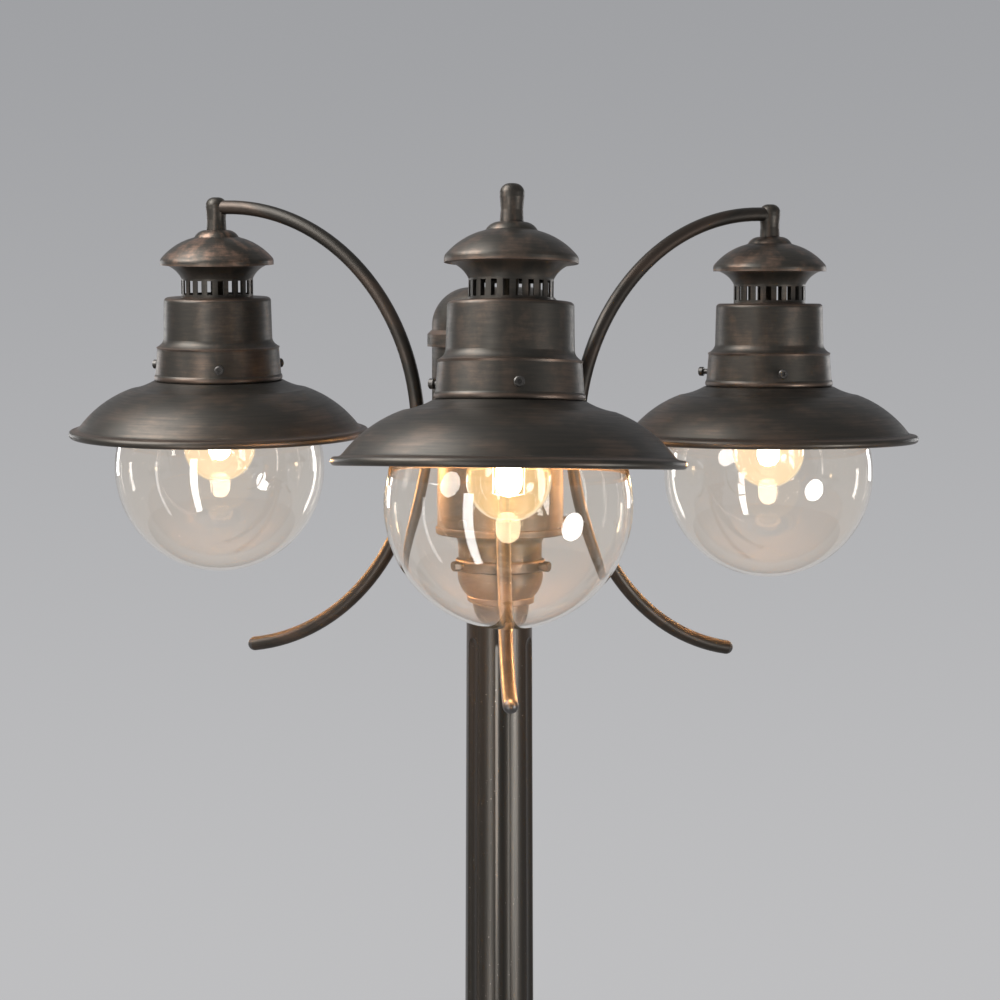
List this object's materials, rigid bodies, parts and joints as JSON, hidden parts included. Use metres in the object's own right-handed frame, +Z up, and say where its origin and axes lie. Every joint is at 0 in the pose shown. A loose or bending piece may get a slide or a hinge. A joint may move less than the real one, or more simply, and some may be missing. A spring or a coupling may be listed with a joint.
{
  "type": "triple head lamp post",
  "caption": "Garden lamp post: curved arms around a hub carry shaded clear globe lamps above a fluted post.",
  "frame": {"origin": "centre of the base plate's underside, on the post's axis", "axes": "+Z up the post, -Y towards the front lamp, +X towards the right"},
  "size_m": [0.6497, 0.611, 2.1023],
  "materials": {
    "bronze_paint": "satin dark bronze with a brushed copper-brown patina",
    "clear_glass": "clear polished, faintly warm",
    "bulb_glass": "clear polished",
    "bulb_cap": "bright",
    "filament": "clear stem with a glowing filament",
    "porcelain": "glazed",
    "flex": "matte sheath",
    "screw_steel": "blackened head, bright shank",
    "brass": "turned",
    "seal_rubber": "matte",
    "block_plastic": "moulded"
  },
  "bodies": {
    "post": {"arm_brackets": "bronze_paint", "arm_front": "bronze_paint", "arm_lead_front": "flex", "arm_lead_left": "flex", "arm_lead_right": "flex", "arm_left": "bronze_paint", "arm_right": "bronze_paint", "arm_tips": "bronze_paint", "barrel_front": "bronze_paint", "barrel_left": "bronze_paint", "barrel_right": "bronze_paint", "base_plate": "bronze_paint", "cap_front": "bronze_paint", "cap_left": "bronze_paint", "cap_right": "bronze_paint", "elbow_front": "bronze_paint", "elbow_left": "bronze_paint", "elbow_right": "bronze_paint", "globe_front": "clear_glass", "globe_gaskets": "seal_rubber", "globe_left": "clear_glass", "globe_right": "clear_glass", "hub_body": "bronze_paint", "hub_lid": "bronze_paint", "hub_screws": "screw_steel", "hub_seal": "seal_rubber", "hub_socket": "bronze_paint", "lampholder_front": "porcelain", "lampholder_left": "porcelain", "lampholder_right": "porcelain", "lock_nuts": "brass", "nipples": "brass", "post_set_screws": "screw_steel", "post_tube": "bronze_paint", "shade_front": "bronze_paint", "shade_left": "bronze_paint", "shade_right": "bronze_paint", "terminal_block": "block_plastic", "vent_cage_front": "bronze_paint", "vent_cage_left": "bronze_paint", "vent_cage_right": "bronze_paint"},
    "globe_screw_front_1": {"globe_screw_front_1": "screw_steel"},
    "globe_screw_front_2": {"globe_screw_front_2": "screw_steel"},
    "globe_screw_front_3": {"globe_screw_front_3": "screw_steel"},
    "bulb_front": {"bulb_glass_front": "bulb_glass", "bulb_cap_front": "bulb_cap", "bulb_filament_front": "filament"},
    "globe_screw_right_1": {"globe_screw_right_1": "screw_steel"},
    "globe_screw_right_2": {"globe_screw_right_2": "screw_steel"},
    "globe_screw_right_3": {"globe_screw_right_3": "screw_steel"},
    "bulb_right": {"bulb_glass_right": "bulb_glass", "bulb_cap_right": "bulb_cap", "bulb_filament_right": "filament"},
    "globe_screw_left_1": {"globe_screw_left_1": "screw_steel"},
    "globe_screw_left_2": {"globe_screw_left_2": "screw_steel"},
    "globe_screw_left_3": {"globe_screw_left_3": "screw_steel"},
    "bulb_left": {"bulb_glass_left": "bulb_glass", "bulb_cap_left": "bulb_cap", "bulb_filament_left": "filament"},
    "base_cover": {"base_cover": "bronze_paint"}
  },
  "joints": [
    {"name": "globe_screw_front_1_back_off", "type": "slide", "parent": "post", "child": "globe_screw_front_1", "axis": [0.0697, -0.996, 0.0565], "range_m": [0, 0.005]},
    {"name": "globe_screw_front_2_back_off", "type": "slide", "parent": "post", "child": "globe_screw_front_2", "axis": [0.829, 0.5576, -0.0437], "range_m": [0, 0.005]},
    {"name": "globe_screw_front_3_back_off", "type": "slide", "parent": "post", "child": "globe_screw_front_3", "axis": [-0.8987, 0.4384, -0.0127], "range_m": [0, 0.005]},
    {"name": "bulb_front_unscrew", "type": "slide", "parent": "post", "child": "bulb_front", "axis": [-0.014, -0.0576, -0.9982], "range_m": [0, 0.022]},
    {"name": "globe_screw_right_1_back_off", "type": "slide", "parent": "post", "child": "globe_screw_right_1", "axis": [0.829, 0.5592, 0], "range_m": [0, 0.005]},
    {"name": "globe_screw_right_2_back_off", "type": "slide", "parent": "post", "child": "globe_screw_right_2", "axis": [-0.8988, 0.4384, 0], "range_m": [0, 0.005]},
    {"name": "globe_screw_right_3_back_off", "type": "slide", "parent": "post", "child": "globe_screw_right_3", "axis": [0.0698, -0.9976, 0], "range_m": [0, 0.005]},
    {"name": "bulb_right_unscrew", "type": "slide", "parent": "post", "child": "bulb_right", "axis": [0, 0, -1], "range_m": [0, 0.022]},
    {"name": "globe_screw_left_1_back_off", "type": "slide", "parent": "post", "child": "globe_screw_left_1", "axis": [-0.8987, 0.4384, 0.0146], "range_m": [0, 0.005]},
    {"name": "globe_screw_left_2_back_off", "type": "slide", "parent": "post", "child": "globe_screw_left_2", "axis": [0.0695, -0.9967, -0.043], "range_m": [0, 0.005]},
    {"name": "globe_screw_left_3_back_off", "type": "slide", "parent": "post", "child": "globe_screw_left_3", "axis": [0.8292, 0.5583, 0.0284], "range_m": [0, 0.005]},
    {"name": "bulb_left_unscrew", "type": "slide", "parent": "post", "child": "bulb_left", "axis": [0.005, 0.0435, -0.999], "range_m": [0, 0.022]},
    {"name": "base_cover_lift", "type": "slide", "parent": "post", "child": "base_cover", "axis": [0, 0, 1], "range_m": [0, 0.16]}
  ]
}
